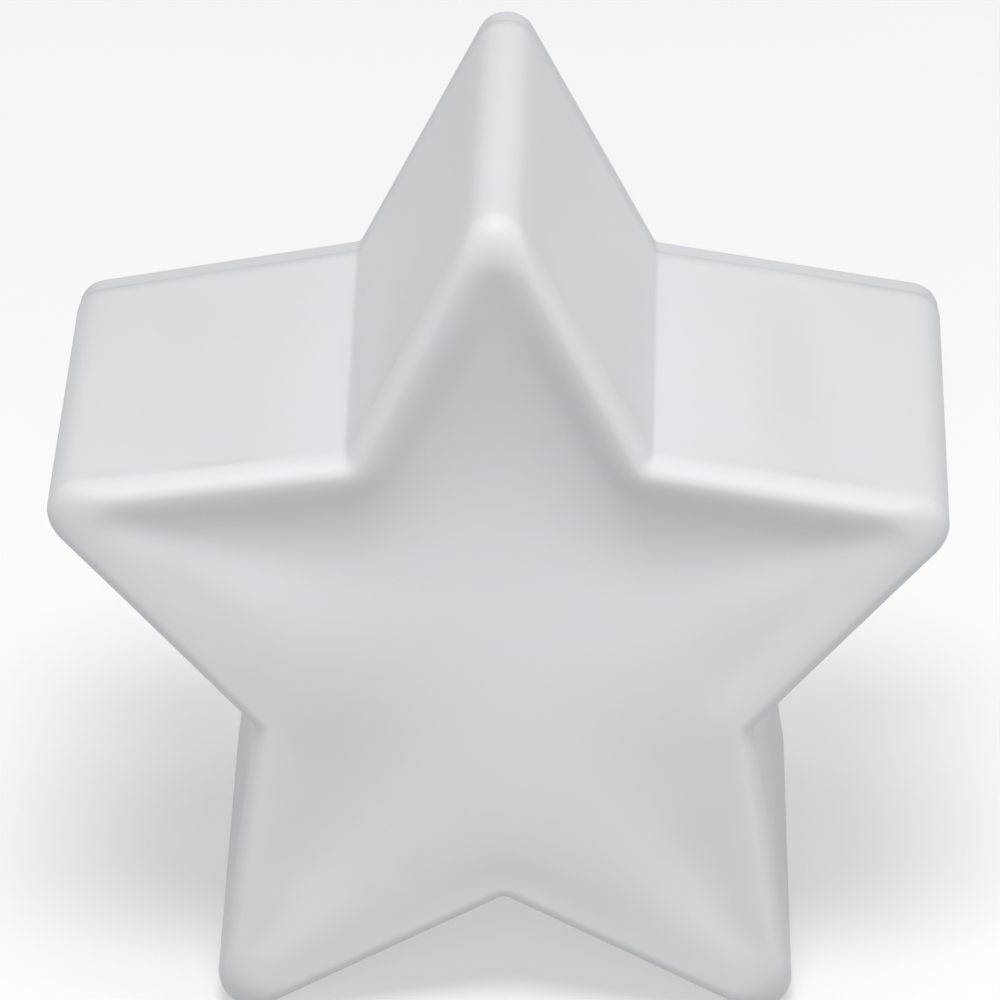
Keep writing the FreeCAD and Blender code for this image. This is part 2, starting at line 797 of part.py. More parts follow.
def make_contacts():
    last = CELLS - 1
    positive = [
        contact_plate("positive_plate", -1, 0, 0),
        contact_bump("positive_bump", -1, 0),
        solder_tab("positive_tab", -1, 0),
    ]
    negative = [contact_plate("negative_plate", 1, last, last), solder_tab("negative_tab", 1, last)]
    left = [contact_plate("left_bridge_plate", -1, 1, 2), contact_bump("left_bridge_bump", -1, 2)]
    right = [contact_plate("right_bridge_plate", 1, 0, 1), contact_bump("right_bridge_bump", 1, 1)]
    return [
        join("positive_contact", positive),
        join("negative_contact", negative),
        join("left_bridge_contact", left),
        join("right_bridge_contact", right),
    ]


def make_springs():
    """Three conical springs that press on the cells' flat ends."""
    coils = []
    for side, index in ((1, 0), (-1, 1), (1, 2)):
        helix = doc.addObject("Part::Helix", f"spring_path_{index}")
        room = f"({CONTACT_FACE}-({CELL_TIP}-cell_length)*(-1)-2*spring_wire_radius)"
        bind(
            helix,
            Radius="spring_small_radius",
            Height=room,
            Pitch=f"{room}/spring_turns",
            Angle=f"atan((spring_large_radius-spring_small_radius)/{room})",
        )
        helix.SegmentLength = 1
        wire = doc.addObject("Part::Circle", f"spring_wire_{index}")
        bind(wire, Radius="spring_wire_radius", Placement__Base__x="spring_small_radius")
        wire.Placement = Placement(Vector(size("spring_small_radius"), 0, 0), Rotation(Vector(1, 0, 0), 90))
        coil = doc.addObject("Part::Sweep", f"spring_coil_{index}")
        coil.Sections = [wire]
        coil.Spine = (helix, [])
        coil.Solid = True
        coil.Frenet = True
        turned = Rotation(Vector(0, 1, 0), 90 * side)
        coil.Placement = Placement(Vector(), turned)
        start = f"{side}*(cell_length-{CELL_TIP}+spring_wire_radius)"
        bind_place(coil, start, CELL_AXIS, cell_height(index))
        coils.append(coil)
    return collect("contact_springs", coils)


# The circuit board and what is soldered to it


def make_board():
    """The board, drilled for its screws, the diffuser's pins and the leads."""
    board = slab(
        "board_blank",
        around("0", "board_length"),
        (BOARD_FRONT, BOARD_BACK),
        around(BOARD_HEIGHT, "board_height"),
        "board_corner",
    )
    span = (f"{BOARD_FRONT}-1", f"{BOARD_BACK}+1")
    holes = [
        cylinder(f"board_hole_{index}", "board_screw_radius+0.1", "y", span, place)
        for index, place in enumerate(board_corners())
    ]
    for side, name in ((-1, "left"), (1, "right")):
        holes.append(cylinder(f"pin_hole_{name}", "ear_pin_radius+0.05", "y", span, ear_place(side)))
    return cut("circuit_board", board, holes)


def ear_place(side):
    return (f"{side}*(diffuser_length+ear_length)/2", BOARD_HEIGHT)


def led_middle(index):
    return f"{index - 1}*led_pitch"


def make_led_packages():
    packages = []
    for index in range(3):
        block = box(
            f"led_block_{index}",
            around(led_middle(index), "led_side"),
            (f"{BOARD_FRONT}-led_height", BOARD_FRONT),
            around(BOARD_HEIGHT, "led_side"),
        )
        packages.append(cut(f"led_package_{index}", block, [led_disc(f"led_well_{index}", index, "1")]))
    return collect("led_packages", packages)


def led_disc(name, index, beyond):
    """The round window in a package's face, or the well that it fills."""
    face = f"{BOARD_FRONT}-led_height"
    span = (f"{face}-{beyond}", f"{face}+led_window_depth")
    return cylinder(name, "led_window_radius", "y", span, (led_middle(index), BOARD_HEIGHT))


def make_led_windows():
    return collect("led_windows", [led_disc(f"led_window_{index}", index, "0") for index in range(3)])


def make_diffuser():
    """An opal cap over the packages, with an ear and a pin at each end."""
    cap_y = (f"{BOARD_FRONT}-diffuser_rise", BOARD_FRONT)
    outer = slab(
        "diffuser_outer",
        around("0", "diffuser_length"),
        cap_y,
        around(BOARD_HEIGHT, "diffuser_height"),
        "diffuser_edge",
    )
    inner = slab(
        "diffuser_inner",
        around("0", "diffuser_length-2*diffuser_wall"),
        (f"{cap_y[0]}+diffuser_wall", f"{BOARD_FRONT}+1"),
        around(BOARD_HEIGHT, "diffuser_height-2*diffuser_wall"),
        "diffuser_edge-diffuser_wall",
    )
    solids = [cut("diffuser_cap", outer, [inner])]
    for side, name in ((-1, "left"), (1, "right")):
        middle, height = ear_place(side)
        ear_x = around(middle, "ear_length")
        ear_y = (f"{BOARD_FRONT}-diffuser_wall*1.5", BOARD_FRONT)
        solids.append(box(f"ear_{name}", ear_x, ear_y, around(height, "ear_height")))
        pin_span = (f"{BOARD_FRONT}-diffuser_wall", BOARD_BACK)
        solids.append(cylinder(f"ear_pin_{name}", "ear_pin_radius", "y", pin_span, (middle, height)))
    return join("led_diffuser", solids)


def front_component(name, middle, height, length, rise, depth):
    """A block on the board's front face."""
    return box(
        name, around(middle, length), (f"{BOARD_FRONT}-{depth}", BOARD_FRONT), around(height, rise)
    )


def make_chip():
    """The controller's case, clear of the board on its pins."""
    deep = (f"{BOARD_FRONT}-chip_depth", f"{BOARD_FRONT}-0.1")
    wide = around("chip_reach", "chip_width")
    return box("controller_chip", wide, deep, around(BOARD_HEIGHT, "chip_length"))


def make_chip_pins():
    """Four bent pins along each side of the controller."""
    pins = []
    for side in (-1, 1):
        for row in range(4):
            height = f"{BOARD_HEIGHT}+{row - 1.5}*chip_pin_pitch"
            near = f"chip_reach+{side}*chip_width/2"
            far = f"chip_reach+{side}*(chip_width/2+chip_pin_length)"
            bend = f"chip_reach+{side}*(chip_width/2+chip_pin_width)"
            high = around(height, "chip_pin_width")
            shoulder_y = around(f"{BOARD_FRONT}-chip_depth/2", "chip_pin_width/2")
            leg_y = (f"{BOARD_FRONT}-chip_pin_width/2", BOARD_FRONT)
            drop_y = (shoulder_y[0], BOARD_FRONT)
            name = f"pin_{'left' if side < 0 else 'right'}_{row}"
            shoulder = box(f"{name}_shoulder", ordered(side, near, bend), shoulder_y, high)
            drop_start = f"chip_reach+{side}*(chip_width/2+chip_pin_width/2)"
            drop = box(f"{name}_drop", ordered(side, drop_start, bend), drop_y, high)
            foot = box(f"{name}_foot", ordered(side, drop_start, far), leg_y, high)
            pins.append(join(name, [shoulder, drop, foot]))
    return collect("controller_pins", pins)


def ordered(side, near, far):
    """A span from the near end to the far end, written from left to right."""
    return (near, far) if side > 0 else (far, near)


def make_resistors():
    """Small chip resistors above and below the diffuser's ears."""
    chips = []
    for side in (-1, 1):
        for up in (-1, 1):
            name = f"resistor_{'left' if side < 0 else 'right'}_{'low' if up < 0 else 'high'}"
            middle = f"{side}*resistor_reach"
            height = f"{BOARD_HEIGHT}+{up}*post_rise"
            chips.append(
                front_component(name, middle, height, "resistor_length", "resistor_width", "resistor_depth")
            )
    return collect("chip_resistors", chips)


def make_capacitor():
    span = (f"{BOARD_FRONT}-capacitor_height", BOARD_FRONT)
    return cylinder("buffer_capacitor", "capacitor_radius", "y", span, ("-chip_reach", BOARD_HEIGHT))


# The controls


def make_switch():
    """The slide switch's can, with a trough for its stem."""
    can_x = around("-control_spread", "can_length")
    can = box("can_block", can_x, (BOARD_BACK, CAN_TOP), around(BOARD_HEIGHT, "can_height"))
    trough = box(
        "can_trough",
        around("-control_spread", "stem_side+knob_travel+2*knob_gap"),
        (f"{CAN_TOP}-can_depth/2", f"{CAN_TOP}+1"),
        around(BOARD_HEIGHT, "stem_side+knob_gap"),
    )
    stem_y = (f"{CAN_TOP}-can_depth/2+knob_gap", f"{PANEL_INNER}+skin/2")
    stem = box(
        "slide_switch_stem", around(KNOB_MIDDLE, "stem_side"), stem_y, around(BOARD_HEIGHT, "stem_side")
    )
    return [cut("slide_switch_can", can, [trough]), stem]


def make_knob():
    """The sliding knob: a grip through the slot, on a flange behind the panel."""
    flange_length = "knob_length+2*(knob_travel+knob_gap+flange_overlap)"
    flange_height = "knob_height+2*(knob_gap+flange_overlap)"
    flange = box(
        "knob_flange",
        around(KNOB_MIDDLE, flange_length),
        (FLANGE_FOOT, FLANGE_TOP),
        around(BOARD_HEIGHT, flange_height),
    )
    grip = slab(
        "knob_grip",
        around(KNOB_MIDDLE, "knob_length"),
        (FLANGE_FOOT, "half_depth-knob_gap"),
        around(BOARD_HEIGHT, "knob_height"),
        "knob_gap",
    )
    grooves = []
    for index in range(3):
        middle = f"{KNOB_MIDDLE}+{1.5 * (index - 1)}"
        groove_span = around(BOARD_HEIGHT, "knob_height+1")
        groove_at = (middle, "half_depth-knob_gap")
        grooves.append(cylinder(f"knob_groove_{index}", "knob_gap", "z", groove_span, groove_at))
    socket = box(
        "knob_socket",
        around(KNOB_MIDDLE, "stem_side"),
        (f"{FLANGE_FOOT}-1", f"{PANEL_INNER}+skin/2"),
        around(BOARD_HEIGHT, "stem_side"),
    )
    return cut("switch_knob", join("knob_solids", [flange, grip]), [*grooves, socket])


def make_tact_switch():
    """The push switch's case, with a well for its plunger."""
    case = box(
        "tact_case",
        around("control_spread", "tact_side"),
        (BOARD_BACK, TACT_TOP),
        around(BOARD_HEIGHT, "tact_side"),
    )
    at = ("control_spread", BOARD_HEIGHT)
    well_span = (f"{TACT_TOP}-tact_depth/2", f"{TACT_TOP}+1")
    well = cylinder("tact_well", "plunger_radius+button_gap", "y", well_span, at)
    plunger_span = (f"{TACT_TOP}-tact_depth/2+button_travel+button_gap", f"{TACT_TOP}+2*button_travel")
    plunger = cylinder("tact_switch_plunger", "plunger_radius", "y", plunger_span, at)
    return [cut("tact_switch_body", case, [well]), plunger]


def make_button():
    """The push button: a domed cap through the panel, on a flange, with a stem to the switch."""
    at = ("control_spread", BOARD_HEIGHT)
    body = doc.addObject("PartDesign::Body", "button_cap")
    cap = body.newObject("PartDesign::AdditiveCylinder", "button_cap_blank")
    bind(cap, Radius="button_radius", Height=f"half_depth-knob_gap-{FLANGE_FOOT}")
    cap.Placement = Placement(Vector(), ABOUT_Y)
    bind_place(cap, at[0], FLANGE_FOOT, at[1])
    doc.recompute()
    top = loop_edges(cap.Shape, size("half_depth") - size("knob_gap"))
    round_edges(body, cap, "button_cap_edge", top, "button_edge")
    flange = cylinder("button_flange", "button_flange_radius", "y", (FLANGE_FOOT, FLANGE_TOP), at)
    stem = cylinder("button_stem", "button_stem_radius", "y", (f"{TACT_TOP}+2*button_travel", FLANGE_TOP), at)
    return join("push_button", [body, flange, stem])


# Leads and solder


def make_lead(name, side, index):
    """A lead from a contact's tab, up in front of the board's edge and back to the board."""
    across = f"{side}*lead_reach"
    run = f"({BOARD_FRONT}-wire_drop)"
    low = cell_height(index)
    tab_face = "(half_depth-skin-solder_tab_depth-contact_thickness/2)"
    bend_y = f"({run}+wire_bend)"
    rise = (f"{low}+wire_bend", f"{BOARD_HEIGHT}-wire_bend")
    pieces = [
        cylinder(f"{name}_start", "wire_radius", "y", (bend_y, tab_face), (across, low)),
        cylinder(f"{name}_run", "wire_radius", "z", rise, (across, run)),
        cylinder(f"{name}_end", "wire_radius", "y", (bend_y, BOARD_FRONT), (across, BOARD_HEIGHT)),
        lead_bend(f"{name}_low_bend", across, bend_y, f"{low}+wire_bend", 180),
        lead_bend(f"{name}_high_bend", across, bend_y, f"{BOARD_HEIGHT}-wire_bend", 90),
    ]
    return join(name, pieces)


def lead_bend(name, x, y, z, turn):
    """A quarter turn of a lead about an axis along X, from a turn on by 90 degrees."""
    bend = doc.addObject("Part::Torus", name)
    bind(bend, Radius1="wire_bend", Radius2="wire_radius")
    bend.Angle3 = 90
    bend.Placement = Placement(Vector(), Rotation(Vector(1, 0, 0), turn) * CYCLE_AXES)
    return bind_place(bend, x, y, z)


def make_solder():
    """The four fillets of solder where the leads end."""
    joints = []
    tab_face = "(half_depth-skin-solder_tab_depth-contact_thickness/2)"
    for side, index, name in ((-1, 0, "positive"), (1, CELLS - 1, "negative")):
        across = f"{side}*lead_reach"
        ends = ((BOARD_FRONT, BOARD_HEIGHT, "board"), (tab_face, cell_height(index), "tab"))
        for face, height, end in ends:
            span = (f"{face}-solder_height", face)
            radii = ("wire_radius+0.1", "solder_radius")
            fillet = cone(f"solder_{name}_{end}", radii, "y", span, (across, height))
            bore_span = (f"{face}-2*solder_height", face)
            bore = cylinder(f"solder_bore_{name}_{end}", "wire_radius", "y", bore_span, (across, height))
            joints.append(cut(f"solder_joint_{name}_{end}", fillet, [bore]))
    return collect("solder_joints", joints)


def check_all():
    """Stops if any object failed or any sub-part's shape is missing or invalid."""
    failed = [item.Name for item in doc.Objects if {"Invalid", "Error"} & set(item.State)]
    if failed:
        raise RuntimeError(f"failed objects: {failed}")
    for item in sub_parts:
        if item.Shape.isNull() or not item.Shape.isValid():
            raise RuntimeError(f"bad shape: {item.Label}")


make_sheet()
sub_parts = [
    make_shell(),
    make_cover(),
    make_cover_screws(),
    make_door(),
    *[make_cell(index) for index in range(CELLS)],
    *make_contacts(),
    make_springs(),
    make_board(),
    make_board_screws(),
    make_led_packages(),
    make_led_windows(),
    make_diffuser(),
    make_chip(),
    make_chip_pins(),
    make_resistors(),
    make_capacitor(),
    *make_switch(),
    make_knob(),
    *make_tact_switch(),
    make_button(),
    make_lead("red_lead", -1, 0),
    make_lead("black_lead", 1, CELLS - 1),
    make_solder(),
]
doc.recompute()
check_all()
os.makedirs("parts", exist_ok=True)
for item in sub_parts:
    item.Shape.exportStep(f"parts/{item.Label}.step")
    extent = item.Shape.optimalBoundingBox()
    print(f"{item.Label}: {len(item.Shape.Solids)} solids, {item.Shape.Volume:.1f} mm3, {extent}")
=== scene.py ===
import math

import bpy
import numpy as np
from mathutils import Matrix, Vector, noise


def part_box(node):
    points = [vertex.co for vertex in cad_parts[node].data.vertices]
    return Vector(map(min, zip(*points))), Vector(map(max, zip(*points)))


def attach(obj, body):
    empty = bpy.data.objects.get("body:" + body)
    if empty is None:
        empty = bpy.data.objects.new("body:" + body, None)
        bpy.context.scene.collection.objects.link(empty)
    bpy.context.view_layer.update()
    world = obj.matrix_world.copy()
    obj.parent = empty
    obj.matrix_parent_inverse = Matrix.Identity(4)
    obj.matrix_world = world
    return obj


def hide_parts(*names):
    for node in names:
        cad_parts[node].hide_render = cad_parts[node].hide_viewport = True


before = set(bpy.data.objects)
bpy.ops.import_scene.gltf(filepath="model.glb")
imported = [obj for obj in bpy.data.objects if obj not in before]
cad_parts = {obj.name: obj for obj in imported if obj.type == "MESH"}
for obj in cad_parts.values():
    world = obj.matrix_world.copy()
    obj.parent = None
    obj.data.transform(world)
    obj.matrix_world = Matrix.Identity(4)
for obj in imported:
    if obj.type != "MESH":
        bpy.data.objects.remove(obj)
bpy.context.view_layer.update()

# A white moulded star lamp. The front shell is rebuilt here with the soft fillets, the sunken front and the
# slight dents of a hollow moulded part. Everything else keeps its CAD shape and gets its material.
# X runs to the right, Y to the back and Z up. The lamp stands on two of its points.

MM = 0.001
BODY = "lamp_body"

# The star's outline. Its size comes from the housing's box: two tips reach the sides, and one the top.
POINTS = 5
SHELL_LOW, SHELL_HIGH = (Vector(corner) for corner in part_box("star_shell"))
BACK = SHELL_HIGH.y
FRONT = SHELL_LOW.y
TIP_RADIUS = 5.4 * MM
NOTCH_RADIUS = 1.2 * MM
NOTCH_RATIO = 44 / 85
WALL = 2.2 * MM
STEP = math.pi / POINTS
TIP_HALF = math.atan2(NOTCH_RATIO * math.sin(STEP), 1 - NOTCH_RATIO * math.cos(STEP))
TIP_SPAN = TIP_RADIUS / math.sin(TIP_HALF)  # a sharp tip to the centre of its rounding
STAR_RADIUS = (SHELL_HIGH.x - TIP_RADIUS) / math.sin(2 * STEP) + TIP_SPAN
CENTRE_HEIGHT = SHELL_HIGH.z - TIP_RADIUS + TIP_SPAN - STAR_RADIUS

# How the moulded shell departs from the plain star.
FILLET_DEPTH = 5.6 * MM  # how far back from the front the edge starts to round
FILLET_INSET = 3.0 * MM  # and how far in from the sides it ends
FRONT_TIP_RADIUS = 5.6 * MM
TIP_SOFTENING = 0.2  # how fast the tips round off as the front fillet turns inward
BOWL_SLOPE = 0.5  # how steeply the front face dips just inside the upper parts of its rim
LOWER_SHARE = -0.1  # the share of that dip at the lower parts of the rim: the face swells there a little
LEVEL_SPAN = (-0.3, 0.45)  # a side counts as lower up to the first, and as upper from the second
BOWL_REACH = 24.0 * MM  # how far in from the rim the dip goes on
BOWL_FADE = 2.6  # how fast it levels out on the way
BOWL_EASE = 2.5 * MM  # the width over which it starts
LEAN = 7.0 * MM  # how far back the front stands at the arms and above, compared with the feet
LEAN_RISE = 100.0 * MM  # the height where the lean is complete
LEAN_FADE = 1.6  # above one, it grows fastest just above the feet
SIDE_SINK = 0.7 * MM
SINK_SPREAD = 0.7  # below one, the sides stay sunken closer to the front and the back
SIDE_WAVE = 1.7 * MM
WAVE_SCALE = Vector((80, 12, 80))  # waves per metre, long from front to back
WAVE_START = Vector((3.1, 0.7, 5.2))
RIPPLE = 0.25 * MM  # unevenness of the front face
RIPPLE_SCALE = 34.0
RIPPLE_LAYER = 0.4
DENT_START = 8.0 * MM  # dents and ripples fade in over this distance from the rim
SEAM_ROUND = 0.3 * MM

# The screw pillars and the cells, as in the CAD.
PILLAR_REACH = 38.8 * MM
PILLAR_RADIUS = 3.5 * MM
PILOT_RADIUS = 1.27 * MM
PILLAR_LENGTH = 20.0 * MM
CELL_NUB_REACH = 25.0 * MM  # middle of the lamp to a cell's nub

# The front is a little irregular: its left arm ends higher than the regular star's, and its feet and all
# notches but the upper right one stand to the right. The back keeps the regular star, which the cover fits.
LEFT_ARM = 8  # corners are counted clockwise from the top tip
LEFT_ARM_RISE = 2.5 * MM
SLID_CORNERS = (3, 4, 5, 6, 7, 9)
FRONT_SLIDE = 1.0 * MM

# Soft dents of the front face: x, z, radius and depth in millimetres. A negative depth is a swelling.
FACE_DENTS = (
    (5, 97, 26, 3.6),
    (46, 82, 14, 1.1),
    (25, 77, 15, 1.1),
    (57, 76, 12, 1.0),
    (-57, 77, 15, 0.9),
    (-38, 84, 14, 0.9),
    (40, 62, 13, 1.3),
    (-22, 66, 20, -0.5),
    (20, 40, 18, -0.5),
    (2, 40, 26, -0.6),
    (36, 26, 9, 0.5),
    (-34, 28, 9, 0.4),
)

# How finely the meshes are divided.
TIP_STEPS = 12
NOTCH_STEPS = 6
EDGE_STEPS = 14
DEPTH_STEPS = 26
FILLET_STEPS = 10
FACE_RINGS = 30
RING_SPREAD = 1.4  # above one, the rings are closer together near the rim
RUN_PIECES = 4  # pieces of the rim per mesh edge, when distances to it are taken
PILLAR_SIDES = 32


# Outlines


def direction(angle):
    return Vector((math.cos(angle), math.sin(angle)))


def arc(centre, radius, first, last, steps):
    angles = [first + (last - first) * index / steps for index in range(steps + 1)]
    return [centre + radius * direction(angle) for angle in angles]


def star_corners(share):
    """The star's sharp corners, clockwise from the top tip; its front differs a little from its back."""
    corners = []
    for index in range(2 * POINTS):
        reach = STAR_RADIUS if index % 2 == 0 else STAR_RADIUS * NOTCH_RATIO
        slide = FRONT_SLIDE if index in SLID_CORNERS else 0.0
        rise = LEFT_ARM_RISE if index == LEFT_ARM else 0.0
        corners.append(reach * direction(math.pi / 2 - STEP * index) + Vector((slide, rise)) * share)
    return corners


def meeting(first, first_reach, second, second_reach):
    """Where two lines meet, each given by its unit normal and its distance from the origin."""
    turn = first.x * second.y - first.y * second.x
    return Vector(
        (
            (first_reach * second.y - second_reach * first.y) / turn,
            (second_reach * first.x - first_reach * second.x) / turn,
        )
    )


def star_outline(inset, tip_radius, notch_radius, share):
    """The star's rounded outline in the X-Z plane about its centre, clockwise from the top tip."""
    sharp = star_corners(share)
    normals = []
    for start, end in zip(sharp, sharp[1:] + sharp[:1]):
        along = (end - start).normalized()
        normals.append(Vector((-along.y, along.x)))
    corners = []
    for index, corner in enumerate(sharp):
        before, after = normals[index - 1], normals[index]
        side = 1 if index % 2 == 0 else -1
        radius = tip_radius if side > 0 else notch_radius
        drop = inset + side * radius
        centre = meeting(before, before.dot(corner) - drop, after, after.dot(corner) - drop)
        first = math.atan2(side * before.y, side * before.x)
        turn = -before.angle_signed(after)
        steps = TIP_STEPS if side > 0 else NOTCH_STEPS
        corners.append(arc(centre, radius, first, first + turn, steps))
    outline = []
    for corner, following in zip(corners, corners[1:] + corners[:1]):
        outline += corner
        start, end = corner[-1], following[0]
        outline += [start.lerp(end, index / EDGE_STEPS) for index in range(1, EDGE_STEPS)]
    return outline


def edge_weights():
    """For each outline point, 0 on the rounded corners and up to 1 in the middle of a side."""
    weights = []
    for _ in range(POINTS):
        for corner_steps in (TIP_STEPS, NOTCH_STEPS):
            weights += [0.0] * (corner_steps + 1)
            weights += [math.sin(math.pi * index / EDGE_STEPS) ** 2 for index in range(1, EDGE_STEPS)]
    return weights


def outline_normals(outline):
    """Unit vectors that point away from the star at each outline point."""
    count = len(outline)
    normals = []
    for index in range(count):
        along = outline[(index + 1) % count] - outline[index - 1]
        normals.append(Vector((-along.y, along.x)).normalized())
    return normals


def smooth(value):
    value = min(max(value, 0.0), 1.0)
    return value * value * (3 - 2 * value)


# The shell's surfaces


def front_share(depth):
    """0 at the back's depth and 1 at the front's."""
    return min(max((BACK - depth) / (BACK - FRONT), 0.0), 1.0)


def wall_loop(depth, inset, sinks=False):
    """One loop of a wall at a depth; where it sinks, the sides dip a little between the corners."""
    share = front_share(depth)
    tip = TIP_RADIUS + (FRONT_TIP_RADIUS - TIP_RADIUS) * share - inset
    outline = star_outline(inset, tip, NOTCH_RADIUS + inset, share)
    if not sinks:
        return [Vector((point.x, depth, point.y + CENTRE_HEIGHT)) for point in outline]
    amount = math.sin(math.pi * share) ** SINK_SPREAD
    loop = []
    for point, normal, weight in zip(outline, outline_normals(outline), edge_weights()):
        wave = noise.noise(Vector((point.x, depth, point.y)) * WAVE_SCALE + WAVE_START)
        sink = amount * weight * (SIDE_SINK + SIDE_WAVE * wave)
        moved = point - normal * max(sink, 0.0)
        loop.append(Vector((moved.x, depth, moved.y + CENTRE_HEIGHT)))
    return loop


def fillet_loops(skin):
    """The loops of the rounded front edge, on the outer surface or a skin's thickness inside it."""
    loops = []
    for index in range(1, FILLET_STEPS + 1):
        turn = math.pi / 2 * index / FILLET_STEPS
        inset = skin + (FILLET_INSET - skin) * (1 - math.cos(turn))
        depth = FRONT + skin + (FILLET_DEPTH - skin) * (1 - math.sin(turn))
        tip = FRONT_TIP_RADIUS - skin + TIP_SOFTENING * (inset - skin)
        outline = star_outline(inset, tip, NOTCH_RADIUS + inset, 1.0)
        loops.append([Vector((point.x, depth, point.y + CENTRE_HEIGHT)) for point in outline])
    return loops


def rim_reach(points, rim):
    """For each point, about how far the rim is, and how much of the full dip the nearby rim gives.

    Each short piece of the rim counts by its length over its distance to the fourth power. Beside a long
    straight rim that sums to half of pi over the distance cubed, so the distance is worked back from it.
    """
    corners = np.array([(point.x, point.z) for point in rim])
    runs = np.roll(corners, -1, axis=0) - corners
    lengths = np.hypot(runs[:, 0], runs[:, 1])
    upward = runs[:, 0] / lengths  # 1 where the side faces straight up, as the loop runs clockwise
    low, high = LEVEL_SPAN
    dips = [LOWER_SHARE + (1 - LOWER_SHARE) * smooth((value - low) / (high - low)) for value in upward]
    shares = (np.arange(RUN_PIECES) + 0.5) / RUN_PIECES
    middles = (corners[:, None, :] + runs[:, None, :] * shares[None, :, None]).reshape(-1, 2)
    places = np.array([(point.x, point.z) for point in points])
    nearest = 0.4 * MM  # keeps the weights finite on the rim itself
    squares = ((places[:, None, :] - middles[None, :, :]) ** 2).sum(axis=2) + nearest**2
    weights = np.repeat(lengths / RUN_PIECES, RUN_PIECES)[None, :] / squares**2
    totals = weights.sum(axis=1)
    reaches = (totals * 2 / math.pi) ** (-1 / 3)
    shared_dips = (weights * np.repeat(dips, RUN_PIECES)[None, :]).sum(axis=1) / totals
    return [(float(reach), float(dip)) for reach, dip in zip(reaches, shared_dips)]


def face_sink(x, z, reach, dip):
    """How far the front face lies behind its rim at a place that is some way in from the rim."""
    eased = math.hypot(reach, BOWL_EASE) - BOWL_EASE
    share = min(eased / BOWL_REACH, 1.0)
    sink = dip * BOWL_SLOPE * BOWL_REACH / BOWL_FADE * (1 - (1 - share) ** BOWL_FADE)
    start = smooth(reach / DENT_START)
    for dent_x, dent_z, radius, depth in FACE_DENTS:
        square = ((x - dent_x * MM) ** 2 + (z - dent_z * MM) ** 2) / (radius * MM) ** 2
        sink += depth * MM * math.exp(-square) * start
    ripple = noise.noise(Vector((x, RIPPLE_LAYER, z)) * RIPPLE_SCALE)
    return sink + RIPPLE * ripple * start


def face_loops(rim):
    """Loops that shrink from the front edge's last loop to the middle of the face."""
    centre = Vector((0, rim[0].y, CENTRE_HEIGHT))
    loops = []
    for index in range(1, FACE_RINGS):
        scale = 1 - (index / FACE_RINGS) ** RING_SPREAD
        loop = [centre.lerp(point, scale) for point in rim]
        for point, (reach, dip) in zip(loop, rim_reach(loop, rim)):
            point.y += face_sink(point.x, point.z, reach, dip)
        loops.append(loop)
    return loops


def shell_loops():
    """Every loop of the shell, from the middle of its front face, over the seam, to the middle inside."""
    rounded_depth = FRONT + FILLET_DEPTH
    seam = BACK - SEAM_ROUND
    depths = [seam + (rounded_depth - seam) * index / DEPTH_STEPS for index in range(DEPTH_STEPS + 1)]
    outer_walls = [wall_loop(depth, 0.0, sinks=True) for depth in depths]
    outer_fillet = fillet_loops(0.0)
    outer = outer_walls + outer_fillet + face_loops(outer_fillet[-1])
    inner_walls = [wall_loop(depth, WALL) for depth in depths]
    inner_fillet = fillet_loops(WALL)
    inner = inner_walls + inner_fillet + face_loops(inner_fillet[-1])
    corner_cut = SEAM_ROUND * 0.3
    edge = [wall_loop(BACK - corner_cut, corner_cut), wall_loop(BACK, SEAM_ROUND), wall_loop(BACK, WALL)]
    return outer[::-1] + edge + inner


def loops_mesh(name, loops):
    """A closed skin through loops of equal length, with a point in the middle of its first and last."""
    count = len(loops[0])
    points = [point for loop in loops for point in loop]
    faces = []
    for row in range(len(loops) - 1):
        for index in range(count):
            after = (index + 1) % count
            low, high = row * count, (row + 1) * count
            faces.append((low + index, low + after, high + after, high + index))
    for first, backward in ((0, True), ((len(loops) - 1) * count, False)):
        middle = sum(points[first : first + count], Vector()) / count
        points.append(middle)
        for index in range(count):
            triangle = (first + index, first + (index + 1) % count, len(points) - 1)
            faces.append(triangle[::-1] if backward else triangle)
    mesh = bpy.data.meshes.new(name)
    mesh.from_pydata([tuple(point) for point in points], [], faces)
    mesh.validate()
    mesh.polygons.foreach_set("use_smooth", [True] * len(mesh.polygons))
    return mesh


def add_piece(name, mesh, material, body=BODY):
    piece = bpy.data.objects.new(name, mesh)
    bpy.context.scene.collection.objects.link(piece)
    piece.data.materials.append(material)
    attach(piece, body)
    return piece


def lean_back(point):
    """Moves a high point near the front the most, and a low one or one near the back hardly at all."""
    rise = min(max(point.z / LEAN_RISE, 0.0), 1.0)
    point.y += LEAN * (1 - (1 - rise) ** LEAN_FADE) * front_share(point.y)
    point.z = max(point.z, 0.0)  # the feet end flat on the floor


def make_shell(material):
    loops = shell_loops()
    for loop in loops:
        for point in loop:
            lean_back(point)
    shell = add_piece("star_shell_skin", loops_mesh("star_shell_skin", loops), material)
    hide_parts("star_shell")
    pillars = add_piece("shell_pillars", pillars_mesh(), material)
    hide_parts("star_shell")


